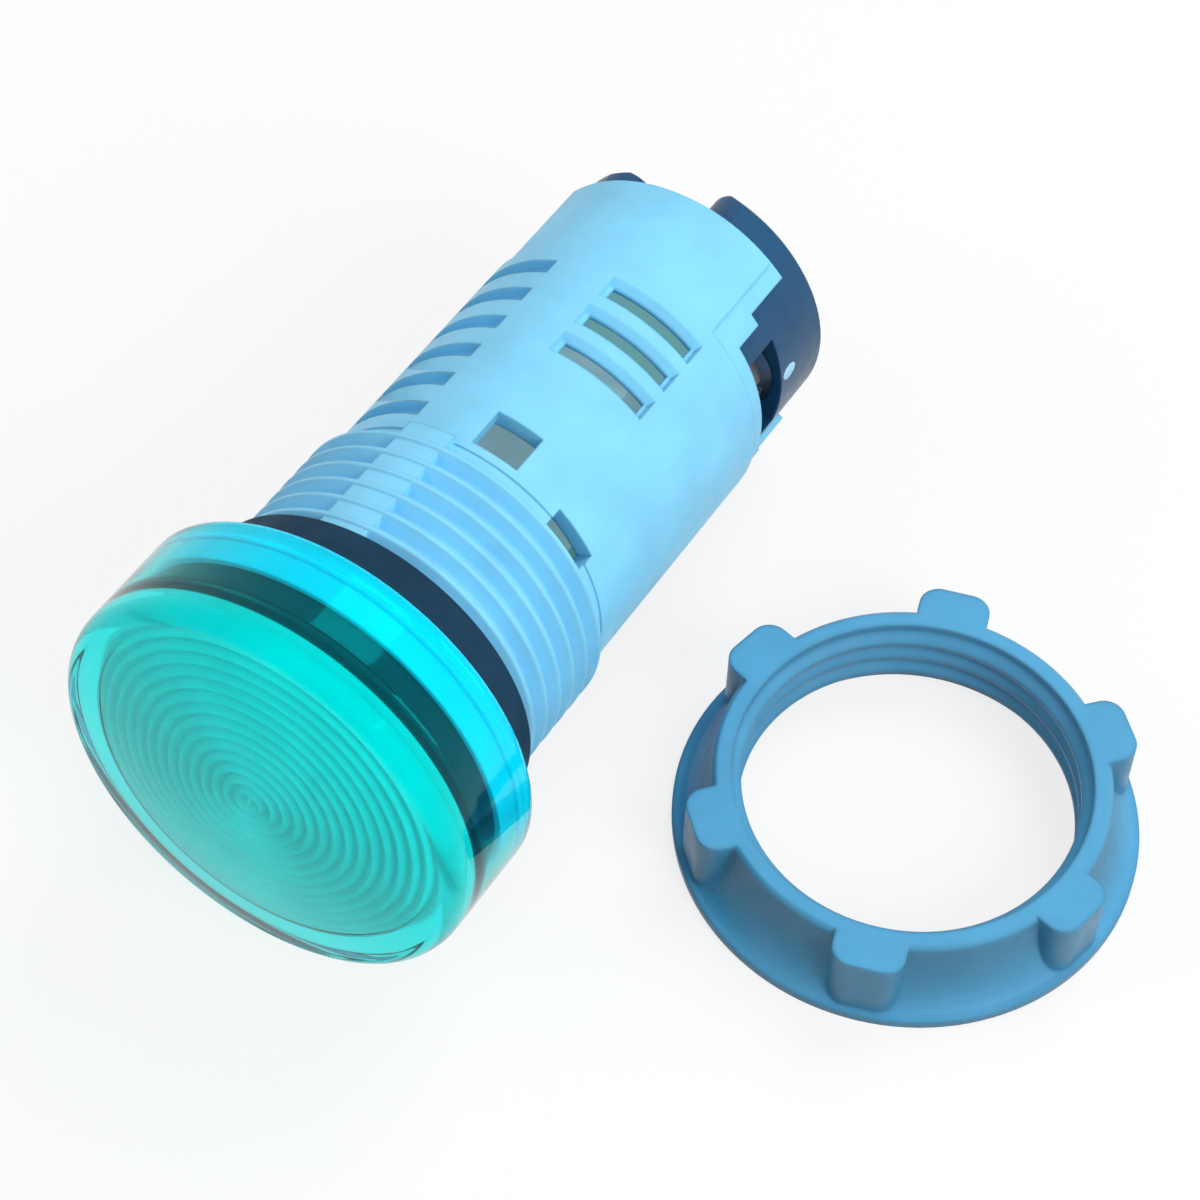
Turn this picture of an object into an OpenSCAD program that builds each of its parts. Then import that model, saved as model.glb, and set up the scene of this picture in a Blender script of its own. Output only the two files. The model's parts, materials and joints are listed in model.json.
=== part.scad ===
// Panel pilot light with its locking nut off.
// The light is drawn about its own axis: the lens faces +Z and the panel seat is at z = 0.
// It is then laid on its side, resting on the lens skirt and the rear edge of the barrel,
// with the lens towards -Y. The nut lies flat beside it.

/* [Lens] */
// Outer diameter of the lens skirt
lens_d = 27.8; // [26.5:0.1:32]
// Height of the lens from the seat to the start of its rounded edge
lens_side_h = 6.8; // [6:0.1:9]
// Diameter of the domed lens face
lens_face_d = 25.6; // [23:0.1:26.2]
// Height of the rounded edge between skirt and face
lens_edge_h = 1.6; // [1:0.1:3]
// Rise of the dome in the middle of the face
dome_rise = 1.6; // [1:0.1:3]
// Wall thickness of the lens skirt
lens_wall = 0.8; // [0.6:0.05:1]
// Wall thickness of the lens face
face_wall = 2; // [1.2:0.1:2.5]
// Gap between the lens skirt and the seat plane
lens_lift = 0.2; // [0.1:0.05:0.6]
// Spacing of the rings on the diffuser behind the lens face
ring_pitch = 0.8; // [0.5:0.05:1.5]
// Depth of the rings
ring_depth = 0.4; // [0.1:0.05:0.5]

/* [Lamp holder] */
// Thickness of the diffuser under its rings
diffuser_t = 0.8; // [0.5:0.1:1]
// Wall thickness of the lamp holder
holder_wall = 0.8; // [0.6:0.1:1.2]
// Depth of the lamp holder behind the collar face
holder_depth = 6.2; // [4.5:0.1:8]
// Thickness of the LED board
led_board_t = 1; // [0.6:0.1:1.6]
// Width of one LED chip
led_w = 2.8; // [1.6:0.1:3]
// Height of one LED chip
led_h = 1.6; // [0.8:0.1:2]
// Number of LED chips in their circle
led_count = 6; // [3:1:6]

/* [Collar and gasket] */
// Height of the collar in front of the panel
collar_h = 3.2; // [2.6:0.1:3.6]
// Wall thickness of the gasket around the thread
gasket_wall = 0.5; // [0.4:0.05:1]
// Inset of the gasket lip from the edge of the collar
gasket_lip_inset = 0.15; // [0.05:0.05:0.6]
// Length of the gasket along the barrel
gasket_l = 3.4; // [2:0.1:5]
// Thickness of the gasket lip
gasket_lip_t = 0.6; // [0.4:0.1:1.2]

/* [Barrel] */
// Outside diameter of the panel thread
thread_d = 21.9; // [21.5:0.1:22.3]
// Depth of the panel thread
thread_depth = 0.75; // [0.5:0.05:0.85]
// Pitch of the panel thread
thread_pitch = 1.5; // [1.2:0.1:2]
// Length from the seat to the end of the thread
thread_l = 13.4; // [11:0.1:14]
// Diameter of the rear part of the barrel
barrel_d = 20.6; // [20.2:0.1:21]
// Length of the barrel behind the seat
barrel_l = 39.8; // [38:0.1:46]
// Inside diameter of the barrel
bore_d = 18.2; // [17.6:0.1:18.6]
// Width angle of the smooth strip along the thread
strip_angle = 17; // [10:1:30]
// Centre angle of the smooth strip from the top
strip_at = -5.6; // [-10:0.1:0]

/* [Barrel openings] */
// Length of the square window along the barrel
window_l = 3; // [2:0.1:4]
// Width of the square window
window_w = 3.2; // [2:0.1:4]
// Length of the narrow window along the barrel
narrow_l = 1.6; // [1:0.1:3]
// Width angle of the narrow window
narrow_angle = 20; // [10:1:24]
// Distance of the first long slot behind the seat
slot_from = 24.1; // [22:0.1:25]
// Width of the long slots
slot_w = 1; // [0.6:0.05:1.4]
// Spacing of the long slots along the barrel
slot_pitch = 2.85; // [2.4:0.05:3.2]
// Number of long slots
slot_count = 3; // [1:1:3]
// Width angle of the long slots
slot_angle = 36; // [20:1:40]
// Chamfer around the long slots
slot_bevel = 0.45; // [0.2:0.05:0.6]
// Wall thickness left around the long slots
slot_wall = 0.7; // [0.6:0.05:0.9]
// Distance from the seat to the middle of the first side groove
groove_from = 15.4; // [15:0.1:17]
// Width of the side grooves
groove_w = 1.3; // [0.6:0.05:1.8]
// Spacing of the side grooves
groove_pitch = 2.93; // [2.2:0.01:3]
// Number of side grooves
groove_count = 6; // [1:1:6]
// Depth of the side grooves
groove_depth = 0.8; // [0.3:0.05:0.9]
// Angle over which the side grooves run
groove_angle = 40; // [20:1:60]
// Length of the wire notches from the rear edge of the barrel
notch_l = 6.4; // [5.8:0.1:8]
// Width angle of the wire notches
notch_angle = 75; // [60:1:85]

/* [Terminals] */
// Diameter of the terminal block behind the barrel
block_d = 19; // [18.9:0.05:19.2]
// Length of the terminal block behind the rear edge of the barrel
block_out = 2.8; // [2:0.1:5]
// Width of the channel between the two terminals
channel_w = 4.2; // [2:0.1:4.4]
// Turn of the channel from the square across the wire entries
channel_turn = 8; // [0:1:10]
// Corner radius where the channel meets the rim of the block
lobe_round = 2.2; // [0.5:0.1:2.4]
// Distance of each terminal screw from the axis
screw_at = 5.7; // [5.5:0.05:5.9]
// Shank diameter of the terminal screws
screw_d = 3; // [2.5:0.1:3.2]
// Head diameter of the terminal screws
screw_head_d = 5.5; // [4.5:0.1:5.6]
// Head height of the terminal screws
screw_head_h = 1.8; // [1.2:0.1:2]
// Diameter of the screwdriver holes
driver_d = 6.2; // [6:0.1:6.3]
// Height of the wire chambers along the axis
chamber_h = 3.2; // [3:0.1:4.2]
// Width of the wire chambers
chamber_w = 7; // [6.6:0.1:8]
// Thickness of the brass contacts and clamp plates
plate_t = 0.8; // [0.5:0.1:1]

/* [Electronics] */
// Width of the main board
board_w = 16; // [14:0.1:16.4]
// Thickness of the main board
board_t = 1; // [0.8:0.1:1.6]
// Distance of the main board's top face below the axis
board_drop = 1.2; // [0.8:0.1:2]
// Length of the film capacitor
film_l = 12; // [8:0.1:13]
// Width of the film capacitor
film_w = 6.4; // [5:0.1:7]
// Height of the film capacitor
film_h = 7.2; // [5:0.1:8]
// Diameter of the smoothing capacitor
can_d = 5; // [4:0.1:5]
// Length of the smoothing capacitor
can_l = 11; // [7:0.1:11]

/* [Locking nut] */
// Diameter of the nut's base
nut_d = 29.2; // [28:0.1:34]
// Height of the nut
nut_h = 5.5; // [4.5:0.1:8]
// Diameter of the nut's top ring
nut_ring_d = 24.7; // [24:0.1:26]
// Thickness of the nut's base rim
nut_rim = 0.6; // [0.4:0.1:1]
// Radial gap between the nut's thread and the barrel's thread
nut_play = 0.2; // [0.1:0.05:0.25]
// Number of finger ribs
rib_count = 6; // [3:1:8]
// Width of a finger rib
rib_w = 4.5; // [3:0.1:6]
// Inset of the finger ribs from the edge of the base
rib_inset = 0.4; // [0:0.05:0.6]
// Corner radius of the finger ribs
rib_round = 1.3; // [0.3:0.1:1.4]
// Turn of the nut about its own axis
nut_turn = -13; // [-30:1:30]

/* [Layout] */
// Roll of the light about its own axis
light_roll = 7.5; // [0:0.5:15]
// Sideways distance from the light's axis to the nut's axis
nut_beside = 29.4; // [29:0.1:40]
// Distance of the nut's axis behind the seat
nut_behind = 19.2; // [0:0.1:40]

/* [Hidden] */
$fn = 96;

// Clearance between fitted pieces, overshoot of cuts, and overlap within one piece
fit = 0.05;
cut = 1;
weld = 0.1;

// Lens
lens_r = lens_d / 2;
skirt_r = lens_r - lens_wall;
face_r = lens_face_d / 2;
face_z = lens_side_h + lens_edge_h;
dome_r = (face_r * face_r + dome_rise * dome_rise) / (2 * dome_rise);
lens_top = face_z + dome_rise;
dome_centre_z = lens_top - dome_r;
corner_w = 2.8;
corner_h = 1.4;
snap_r = 0.25;
snap_z = collar_h / 2 - 0.4;

// Diffuser and lamp holder
collar_r = skirt_r - fit;
ring_count = floor((collar_r - 1) / ring_pitch);
diffuser_z = inner_z(collar_r, face_wall + fit) - 0.2;
holder_r = bore_d / 2 - fit;
holder_floor_z = collar_h - holder_depth;
holder_flange_t = 0.5;
led_board_r = holder_r - holder_wall - fit;
led_board_z = holder_floor_z + holder_wall;
led_ring_r = led_board_r - led_w;

// Barrel
thread_r = thread_d / 2;
root_r = thread_r - thread_depth;
barrel_r = barrel_d / 2;
bore_r = bore_d / 2;
thread_start = gasket_l + 0.45;
thread_turns = floor((thread_l - thread_start) / thread_pitch);
tooth_base = 0.45 * thread_pitch;
tooth_crest = 0.1 * thread_pitch;
strip_lower = 0.1;
rear_chamfer = 0.3;
neck_r = thread_r - 0.3;
gasket_in_r = thread_r + fit;
gasket_r = gasket_in_r + gasket_wall;
gasket_lip_r = collar_r - gasket_lip_inset;
window_at = 16.5;
narrow_at = 54.7;
slot_at = 26;
slot_relief = 0.35;
slot_relief_angle = slot_relief / bore_r * 180 / PI;
groove_at = -17;
notch_front_l = 2.4;
notch_front_inset = 5;
relief_w = 1.3;
relief_depth = 0.25;
relief_angle = relief_w / barrel_r * 180 / PI;

// Terminals
block_r = block_d / 2;
pocket_r = block_r + fit;
block_l = barrel_l + block_out;
block_chamfer = 0.5;
chamber_z = notch_l - barrel_l - 0.3;
chamber_end_z = chamber_z - chamber_h;
block_floor_z = chamber_z + plate_t;
block_front_z = block_floor_z + 2;
chamber_in = screw_at - screw_head_d / 2 - 0.25;
plate_out = sqrt(block_r * block_r - chamber_w * chamber_w / 4) - 0.3;
screw_r = screw_d / 2;
screw_tip_z = block_front_z + 0.5;
screw_slot = 0.8;
channel_depth = block_out - 0.1;

// Electronics: the main board stands on edge in rails, below the axis
board_top = -board_drop;
board_under = board_top - board_t;
board_front_z = holder_floor_z - 1;
board_rear_z = screw_tip_z + 0.3;
rail_h = 1;
rail_w = 0.9;
header_r = 0.32;
header_gap = 2.54;
lead_r = 0.3;
lead_l = 1;
part_gap = 0.3;
zener_r = 0.8;
zener_l = 2.6;
zener_at = [0, board_rear_z + part_gap + zener_r];
film_left = -1.6;
film_x = film_left + film_w / 2;
film_z = zener_at[1] + zener_r + part_gap + film_l / 2;
can_x = film_left - part_gap - can_d / 2;
can_z = film_z + (can_l - film_l) / 2;
bridge_size = [4.4, 2.4, 5];
bridge_at = [can_x, board_front_z - 1 - bridge_size[2] / 2];
resistor_r = 1.1;
resistor_l = 5.2;
lead_reach = 0.7;
resistor_xs = [for (i = [0, 1]) 2.9 + i * (2 * resistor_r + part_gap)];
resistor_z = board_front_z - part_gap - lead_r - lead_reach - resistor_l / 2;
tail_w = 2.4;
tail_t = 0.6;
tail_l = 4;

// Places of the leads in the board, as [x, z]
film_leads = [for (s = [-1, 1]) [film_x, film_z + s * (film_l / 2 - 1.2)]];
can_leads = [for (s = [-1, 1]) [can_x + s, can_z + can_l / 2 + lead_reach]];
bridge_leads = [for (s = [-1, 1], t = [-1, 1]) bridge_at + [s * 1.5, t * 1.7]];
resistor_leads = [for (x = resistor_xs, s = [-1, 1]) [x, resistor_z + s * (resistor_l / 2 + lead_reach)]];
zener_leads = [for (s = [-1, 1]) zener_at + [s * (zener_l / 2 + lead_reach), 0]];
board_leads = concat(film_leads, can_leads, bridge_leads, resistor_leads, zener_leads);

// Nut
nut_r = nut_d / 2;
nut_ring_r = nut_ring_d / 2;
nut_root_r = thread_r + nut_play;
nut_crest_r = root_r + nut_play + 0.1;
nut_turns = floor(nut_h / thread_pitch + 0.01);
nut_edge = 0.25;
rib_r = nut_r - rib_inset;

// Resting place of the light: lens skirt and rear edge of the barrel on the floor
rest_tilt = atan((lens_r - barrel_r) / (lens_lift + barrel_l - rear_chamfer));
axis_h = lens_r * cos(rest_tilt) - lens_lift * sin(rest_tilt);

// Middle of the floor space that the light and the nut take up together
front_y = -(dome_centre_z * cos(rest_tilt) + dome_r);
rear_y = block_l * cos(rest_tilt) + (block_r - block_chamfer) * sin(rest_tilt);
mid_x = (nut_beside + nut_r - lens_r) / 2;
mid_y = (front_y + rear_y) / 2;

// Height of the dome at radius x, moved in by the depth d
function dome(x, d = 0) = dome_centre_z + sqrt(pow(dome_r - d, 2) - x * x);

// Height of the lens's inside at radius x, moved in by the depth d: the dome with an elliptical corner
function inner_z(x, d) = dome(x, d)
    - corner_h * (1 - sqrt(max(0, 1 - pow(max(0, x - skirt_r + corner_w) / corner_w, 2))));

// Section of one thread tooth from the root radius a to the crest radius b, centred on z
function tooth(a, b, z) = [[a, z + tooth_base], [b, z + tooth_crest], [b, z - tooth_crest],
    [a, z - tooth_base]];

// Places the light as it lies on the floor
module laid() {
    translate([-mid_x, -mid_y, axis_h])
        rotate([90 - rest_tilt, 0, 0])
        rotate([0, 0, light_roll])
        children();
}

// Part of a ring from z0 up to z1, from angle a to angle b clockwise from the top
module ring_sector(r0, r1, z0, z1, a, b) {
    rotate([0, 0, 90 - b])
        rotate_extrude(angle = b - a)
        translate([r0, z0])
        square([r1 - r0, z1 - z0]);
}

// Leads that stand in the main board
module leads(places, top = board_top) {
    for (p = places)
        translate([p[0], board_under - lead_l, p[1]])
        rotate([-90, 0, 0])
        cylinder(r = lead_r, h = top - board_under + lead_l + fit, $fn = 24);
}

module lens_cap() {
    edge_r = lens_r - face_r;
    outer_edge = [for (i = [0 : 8]) let (t = 90 * i / 8)
        [face_r + edge_r * cos(t), lens_side_h + lens_edge_h * sin(t)]];
    outer_face = [for (i = [15 : -1 : 0]) let (x = face_r * i / 16) [x, dome(x)]];
    flat_r = skirt_r - corner_w;
    inner_face = [for (i = [0 : 12]) let (x = flat_r * i / 12) [x, inner_z(x, face_wall)]];
    inner_corner = [for (i = [1 : 12]) let (x = flat_r + corner_w * sin(7.5 * i)) [x, inner_z(x, face_wall)]];
    color([0, 0.82, 0.78, 0.6])
        laid()
        difference() {
            rotate_extrude()
                polygon(concat([[skirt_r, lens_lift], [lens_r, lens_lift]], outer_edge, outer_face,
                    inner_face, inner_corner));
            rotate_extrude()
                translate([collar_r, snap_z])
                circle(r = snap_r + fit, $fn = 32);
        }
}

// Domed disc with round ridges on its front, close behind the lens face
module diffuser() {
    crest = face_wall + fit;
    rings_r = ring_count * ring_pitch;
    under_r = collar_r - 1;
    rings = [for (i = [0 : ring_count - 1]) let (x = i * ring_pitch) each
        [[x, inner_z(x, crest)], [x + ring_pitch / 2, inner_z(x + ring_pitch / 2, crest) - ring_depth]]];
    underside = [for (i = [12 : -1 : 0]) let (x = under_r * i / 12)
        [x, dome(x, crest + ring_depth + diffuser_t)]];
    color("white")
        laid()
        rotate_extrude()
        polygon(concat(
            rings,
            [for (i = [0 : 4]) let (x = rings_r + (collar_r - rings_r) * i / 4) [x, inner_z(x, crest)]],
            [[collar_r, diffuser_z], [under_r, diffuser_z]],
            underside));
}

module lamp_holder() {
    flange_r = collar_r - 0.3;
    flange_z = collar_h + holder_flange_t;
    rim_r = flange_r - holder_wall;
    inner_r = holder_r - holder_wall;
    color([0.05, 0.12, 0.16])
        laid()
        difference() {
            rotate_extrude()
                polygon([
                    [0, holder_floor_z], [holder_r, holder_floor_z], [holder_r, collar_h],
                    [flange_r, collar_h], [flange_r, diffuser_z],
                    [rim_r, diffuser_z], [rim_r, flange_z],
                    [inner_r, flange_z], [inner_r, led_board_z], [0, led_board_z]]);
            header_holes();
        }
}

// Holes for the header pins in the lamp holder and the LED board
module header_holes() {
    for (s = [-1, 1])
        translate([s * header_gap / 2, board_top + header_r + fit, holder_floor_z - cut])
        cylinder(r = header_r + fit, h = led_board_z + led_board_t + 2 * cut - holder_floor_z, $fn = 24);
}

module led_board() {
    color([0.9, 0.93, 0.9])
        laid()
        difference() {
            translate([0, 0, led_board_z])
                cylinder(r = led_board_r, h = led_board_t);
            header_holes();
        }
}

module leds() {
    color([1, 0.95, 0.6])
        laid()
        for (i = [0 : led_count - 1])
            rotate([0, 0, 360 * i / led_count])
            translate([led_ring_r - led_w / 2, -led_w / 2, led_board_z + led_board_t])
            cube([led_w, led_w, led_h]);
}

module board_pins() {
    color("gold")
        laid()
        for (s = [-1, 1])
            translate([s * header_gap / 2, board_top + header_r + fit, board_front_z - 1.2])
            cylinder(r = header_r, h = led_board_z + led_board_t - board_front_z + 1.2, $fn = 24);
}

module gasket() {
    lip_taper = (gasket_lip_r - gasket_r) / 2;
    color([0.11, 0.22, 0.3])
        laid()
        rotate_extrude()
        polygon([
            [gasket_in_r, 0], [gasket_lip_r, 0], [gasket_lip_r, -gasket_lip_t],
            [gasket_r, -gasket_lip_t - lip_taper],
            [gasket_r, -gasket_l], [gasket_in_r, -gasket_l]]);
}

module housing() {
    thread = [for (i = [0 : thread_turns - 1]) each
        tooth(root_r, thread_r, -thread_start - (i + 0.5) * thread_pitch)];
    color([0.53, 0.83, 0.95])
        laid()
        difference() {
            union() {
                rotate_extrude()
                    polygon(concat(
                        [[bore_r, collar_h], [collar_r, collar_h], [collar_r, 0], [neck_r, 0],
                            [neck_r, -gasket_l], [root_r, -gasket_l]],
                        thread,
                        [[root_r, -thread_l], [barrel_r, -thread_l],
                            [barrel_r, rear_chamfer - barrel_l], [barrel_r - rear_chamfer, -barrel_l],
                            [pocket_r, -barrel_l], [pocket_r, block_front_z], [bore_r, block_front_z]]));
                rotate_extrude()
                    translate([collar_r, snap_z])
                    circle(r = snap_r, $fn = 32);
                smooth_strip();
                board_rails();
            }
            square_window();
            ring_sector(bore_r - cut, thread_r + cut, -thread_l - narrow_l / 2, -thread_l + narrow_l / 2,
                narrow_at - narrow_angle / 2, narrow_at + narrow_angle / 2);
            for (i = [0 : slot_count - 1])
                translate([0, 0, -slot_from - i * slot_pitch])
                long_slot();
            for (i = [0 : groove_count - 1])
                translate([0, 0, -groove_from - i * groove_pitch])
                side_groove();
            for (a = [-90, 90])
                wire_notch(a);
        }
}

// Smooth strip that interrupts the thread
module smooth_strip() {
    ring_sector(root_r - weld, thread_r - strip_lower, -thread_l - weld, -gasket_l - fit,
        strip_at - strip_angle / 2, strip_at + strip_angle / 2);
}

// Rails inside the barrel that hold the edges of the main board
module board_rails() {
    rail_x = board_w / 2 - rail_w;
    intersection() {
        translate([0, 0, board_rear_z])
            cylinder(r = bore_r + weld, h = board_front_z - board_rear_z);
        for (x = [-rail_x - barrel_r, rail_x], y = [board_under - fit - rail_h, board_top + fit])
            translate([x, y, board_rear_z - cut])
            cube([barrel_r, rail_h, board_front_z - board_rear_z + 2 * cut]);
    }
}

module square_window() {
    rotate([0, 0, -window_at])
        translate([-window_w / 2, 0, -thread_l - 0.65 - window_l])
        cube([window_w, thread_r + cut, window_l]);
}

// Slot along a part of the barrel's round, with chamfered long edges and stepped ends
module long_slot() {
    a = slot_at - slot_angle / 2;
    b = slot_at + slot_angle / 2;
    flare = slot_bevel + cut;
    ring_sector(bore_r - cut, barrel_r + cut, -slot_w / 2, slot_w / 2, a, b);
    ring_sector(bore_r - cut, barrel_r - slot_wall, -slot_w / 2 - slot_relief, slot_w / 2 + slot_relief,
        a - slot_relief_angle, b + slot_relief_angle);
    rotate([0, 0, 90 - b - slot_bevel * 4])
        rotate_extrude(angle = b - a + slot_bevel * 8)
        polygon([
            [barrel_r - slot_bevel, -slot_w / 2], [barrel_r + cut, -slot_w / 2 - flare],
            [barrel_r + cut, slot_w / 2 + flare], [barrel_r - slot_bevel, slot_w / 2]]);
}

// Blind groove around the left side of the barrel
module side_groove() {
    ring_sector(barrel_r - groove_depth, barrel_r + cut, -groove_w / 2, groove_w / 2,
        groove_at - groove_angle, groove_at);
}

// Notch for the wires in the rear edge of the barrel, narrower at its front, with a shallow relief
module wire_notch(a) {
    half = notch_angle / 2;
    front_z = notch_l - barrel_l;
    ring_sector(pocket_r - cut, barrel_r + cut, -barrel_l - cut, front_z - notch_front_l, a - half, a + half);
    ring_sector(pocket_r - cut, barrel_r + cut, -barrel_l, front_z,
        a - half + notch_front_inset, a + half - notch_front_inset);
    ring_sector(barrel_r - relief_depth, barrel_r + cut, -barrel_l - cut, front_z + relief_w,
        a - half - relief_angle, a + half + relief_angle);
}

module main_board() {
    color([0.35, 0.6, 0.5])
        laid()
        difference() {
            translate([-board_w / 2, board_under, board_rear_z])
                cube([board_w, board_t, board_front_z - board_rear_z]);
            for (p = board_leads)
                translate([p[0], board_under - cut, p[1]])
                rotate([-90, 0, 0])
                cylinder(r = lead_r + fit, h = board_t + 2 * cut, $fn = 24);
        }
}

module film_capacitor() {
    color([0.6, 0.75, 0.85])
        laid() {
            translate([film_x - film_w / 2, board_top + fit, film_z - film_l / 2])
                cube([film_w, film_h, film_l]);
            leads(film_leads, board_top + weld);
        }
}

module smoothing_capacitor() {
    y = board_top + fit + can_d / 2;
    front_z = can_z + can_l / 2;
    color([0.1, 0.15, 0.25])
        laid() {
            translate([can_x, y, can_z - can_l / 2])
                cylinder(d = can_d, h = can_l);
            leads(can_leads, y);
            for (p = can_leads)
                translate([p[0], y, front_z - weld])
                cylinder(r = lead_r, h = p[1] - front_z + weld, $fn = 24);
        }
}

module bridge_rectifier() {
    color([0.08, 0.09, 0.1])
        laid() {
            translate([bridge_at[0], board_top + fit + bridge_size[1] / 2, bridge_at[1]])
                cube(bridge_size, center = true);
            leads(bridge_leads, board_top + weld);
        }
}

module resistors() {
    y = board_top + fit + resistor_r;
    color([0.75, 0.65, 0.45])
        laid() {
            for (x = resistor_xs) {
                translate([x, y, resistor_z - resistor_l / 2])
                    cylinder(r = resistor_r, h = resistor_l, $fn = 48);
                translate([x, y, resistor_z - resistor_l / 2 - lead_reach])
                    cylinder(r = lead_r, h = resistor_l + 2 * lead_reach, $fn = 24);
            }
            leads(resistor_leads, y);
        }
}

module zener_diode() {
    y = board_top + fit + zener_r;
    reach = zener_l / 2 + lead_reach;
    color([0.75, 0.35, 0.2])
        laid() {
            translate([zener_at[0] - zener_l / 2, y, zener_at[1]])
                rotate([0, 90, 0])
                cylinder(r = zener_r, h = zener_l, $fn = 48);
            translate([zener_at[0] - reach, y, zener_at[1]])
                rotate([0, 90, 0])
                cylinder(r = lead_r, h = 2 * reach, $fn = 24);
            leads(zener_leads, y);
        }
}

module terminal_block() {
    color([0.12, 0.25, 0.36])
        laid()
        difference() {
            rotate_extrude()
                polygon([
                    [0, block_front_z], [block_r, block_front_z], [block_r, block_chamfer - block_l],
                    [block_r - block_chamfer, -block_l], [0, -block_l]]);
            rotate([0, 0, channel_turn])
                channel_cut();
            terminal_cuts();
            mirror([1, 0, 0])
                terminal_cuts();
        }
}

// Channel across the rear face, with the corners at the rim of the block rounded
module channel_cut() {
    translate([-channel_w / 2, -block_r - cut, -block_l - cut])
        cube([channel_w, 2 * (block_r + cut), channel_depth + cut]);
    for (a = [0, 180])
        rotate([0, 0, a]) {
            corner_cut();
            mirror([1, 0, 0])
                corner_cut();
        }
}

module corner_cut() {
    x = channel_w / 2 + lobe_round - fit;
    y = sqrt(pow(block_r - lobe_round + fit, 2) - x * x);
    out = (block_r + cut) / (block_r - lobe_round);
    translate([0, 0, -block_l - cut])
        difference() {
            linear_extrude(channel_depth + cut)
                polygon([[0, y], [x, y], [x * out, y * out], [0, block_r + 2 * cut]]);
            translate([x, y, -cut])
                cylinder(r = lobe_round, h = channel_depth + 3 * cut, $fn = 64);
        }
}

// Wire chamber, screwdriver hole, screw hole and tail slot of the right terminal
module terminal_cuts() {
    translate([chamber_in, -chamber_w / 2, chamber_end_z])
        cube([block_r, chamber_w, block_floor_z - chamber_end_z]);
    translate([screw_at, 0, -block_l - cut])
        cylinder(d = driver_d, h = block_l + cut + chamber_z);
    translate([screw_at, 0, chamber_end_z])
        cylinder(r = screw_r + 0.3, h = block_front_z - chamber_end_z + cut, $fn = 48);
    translate([screw_at - tail_w / 2 - fit, board_under - tail_t - fit, chamber_z])
        cube([tail_w + 2 * fit, tail_t + 2 * fit, block_front_z - chamber_z + cut]);
}

// Brass plate in front of the wire chamber, with a tail along the underside of the main board
module contact_shape() {
    difference() {
        translate([chamber_in + fit, fit - chamber_w / 2, chamber_z])
            cube([plate_out - chamber_in - fit, chamber_w - 2 * fit, plate_t]);
        translate([screw_at, 0, chamber_z - cut])
            cylinder(r = screw_r + fit, h = plate_t + 2 * cut, $fn = 48);
    }
    translate([screw_at - tail_w / 2, board_under - tail_t, chamber_z + plate_t / 2])
        cube([tail_w, tail_t, board_rear_z + tail_l - chamber_z - plate_t / 2]);
}

module contact_right() {
    color([0.85, 0.7, 0.4])
        laid()
        contact_shape();
}

module contact_left() {
    color([0.85, 0.7, 0.4])
        laid()
        mirror([1, 0, 0])
        contact_shape();
}

// Square plate under the screw head, which presses the wires against the contact
module clamp_shape() {
    gap = 3 * fit;
    translate([chamber_in + gap, gap - chamber_w / 2, chamber_z - plate_t])
        difference() {
            cube([plate_out - chamber_in - gap, chamber_w - 2 * gap, plate_t - fit]);
            translate([screw_at - chamber_in - gap, chamber_w / 2 - gap, -cut])
                cylinder(r = screw_r + fit, h = plate_t + 2 * cut, $fn = 48);
        }
}

module clamp_right() {
    color([0.8, 0.82, 0.85])
        laid()
        clamp_shape();
}

module clamp_left() {
    color([0.8, 0.82, 0.85])
        laid()
        mirror([1, 0, 0])
        clamp_shape();
}

// Terminal screw with a cross recess in its head
module screw_shape() {
    head_z = chamber_z - plate_t;
    translate([screw_at, 0, 0])
        difference() {
            union() {
                translate([0, 0, head_z - screw_head_h])
                    cylinder(d = screw_head_d, h = screw_head_h - fit / 2, $fn = 64);
                translate([0, 0, head_z - screw_head_h / 2])
                    cylinder(r = screw_r, h = screw_tip_z - head_z + screw_head_h / 2, $fn = 48);
            }
            for (a = [0, 90])
                rotate([0, 0, a])
                translate([-screw_head_d / 2 - cut, -screw_slot / 2, head_z - screw_head_h - cut])
                cube([screw_head_d + 2 * cut, screw_slot, screw_head_h / 2 + cut]);
        }
}

module screw_right() {
    color("silver")
        laid()
        screw_shape();
}

module screw_left() {
    color("silver")
        laid()
        mirror([1, 0, 0])
        screw_shape();
}

module lock_nut() {
    flare_w = nut_r - nut_ring_r;
    flare_h = nut_h - nut_edge - nut_rim;
    flare = [for (i = [0 : 8]) let (t = 90 * i / 8)
        [nut_r - flare_w * sin(t), nut_rim + flare_h * (1 - cos(t))]];
    thread = [for (i = [nut_turns - 1 : -1 : 0]) each
        tooth(nut_root_r, nut_crest_r, nut_h / 2 + (i - (nut_turns - 1) / 2) * thread_pitch)];
    color([0.3, 0.6, 0.8])
        translate([nut_beside - mid_x, nut_behind - mid_y, 0])
        rotate([0, 0, nut_turn]) {
            rotate_extrude()
                polygon(concat(
                    [[nut_root_r, 0], [nut_r, 0]],
                    flare,
                    [[nut_ring_r - nut_edge, nut_h], [nut_root_r, nut_h]],
                    thread));
            for (i = [0 : rib_count - 1])
                rotate([0, 0, 360 * i / rib_count])
                finger_rib();
        }
}

// Finger rib of the nut with rounded outer corners, along +X
module finger_rib() {
    inner_x = nut_root_r + 0.5;
    corner_y = rib_w / 2 - rib_round;
    linear_extrude(nut_h) {
        translate([inner_x, -rib_w / 2])
            square([rib_r - rib_round - inner_x, rib_w]);
        translate([inner_x, -corner_y])
            square([rib_r - inner_x, 2 * corner_y]);
        for (y = [-corner_y, corner_y])
            translate([rib_r - rib_round, y])
            circle(r = rib_round, $fn = 32);
    }
}

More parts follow.
